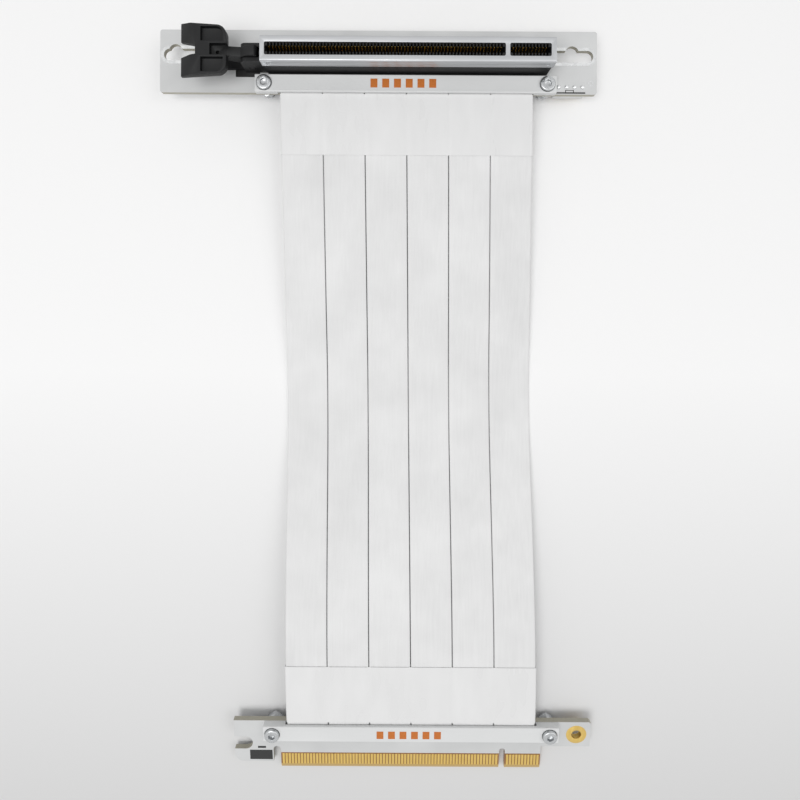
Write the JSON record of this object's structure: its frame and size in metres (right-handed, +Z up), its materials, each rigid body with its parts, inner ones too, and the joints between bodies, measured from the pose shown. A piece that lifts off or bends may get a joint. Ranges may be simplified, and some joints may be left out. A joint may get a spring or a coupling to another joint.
{
  "type": "riser cable",
  "caption": "Flat ribbon extension with a shielded latching card slot on one board and a gold edge connector on the other",
  "frame": {"origin": "middle of the footprint on the surface that the cable lies on", "axes": "+X along the two boards, +Y from the plug board to the slot board, +Z up"},
  "size_m": [0.1398, 0.2404, 0.0197],
  "materials": {
    "white_board": "satin",
    "black_moulding": "matte",
    "bright_steel": "polished",
    "white_bar": "satin",
    "nickelled_steel": "satin",
    "gold_plate": "polished",
    "white_jacket": "satin",
    "white_film": "satin"
  },
  "bodies": {
    "cable": {"slot_board": "white_board", "slot_housing": "black_moulding", "slot_shield": "bright_steel", "slot_clamp_bar": "white_bar", "slot_screw_left": "nickelled_steel", "slot_screw_right": "nickelled_steel", "slot_nut_left": "nickelled_steel", "slot_nut_right": "nickelled_steel", "aux_header": "white_bar", "aux_pin_1": "gold_plate", "aux_pin_2": "gold_plate", "aux_pin_3": "gold_plate", "aux_pin_4": "gold_plate", "plug_board": "white_board", "plug_clamp_bar": "white_bar", "plug_screw_left": "nickelled_steel", "plug_screw_right": "nickelled_steel", "plug_nut_left": "nickelled_steel", "plug_nut_right": "nickelled_steel", "ribbon_1": "white_jacket", "ribbon_2": "white_jacket", "ribbon_3": "white_jacket", "ribbon_4": "white_jacket", "ribbon_5": "white_jacket", "ribbon_6": "white_jacket", "slot_film_band": "white_film", "plug_film_band": "white_film"},
    "latch": {"slot_latch": "black_moulding"}
  },
  "joints": [
    {"name": "latch_hinge", "type": "hinge", "parent": "cable", "child": "latch", "pos_m": [-0.0395, 0.10927, 0.01151], "axis": [0, -1, 0], "range_deg": [0, 20]}
  ]
}
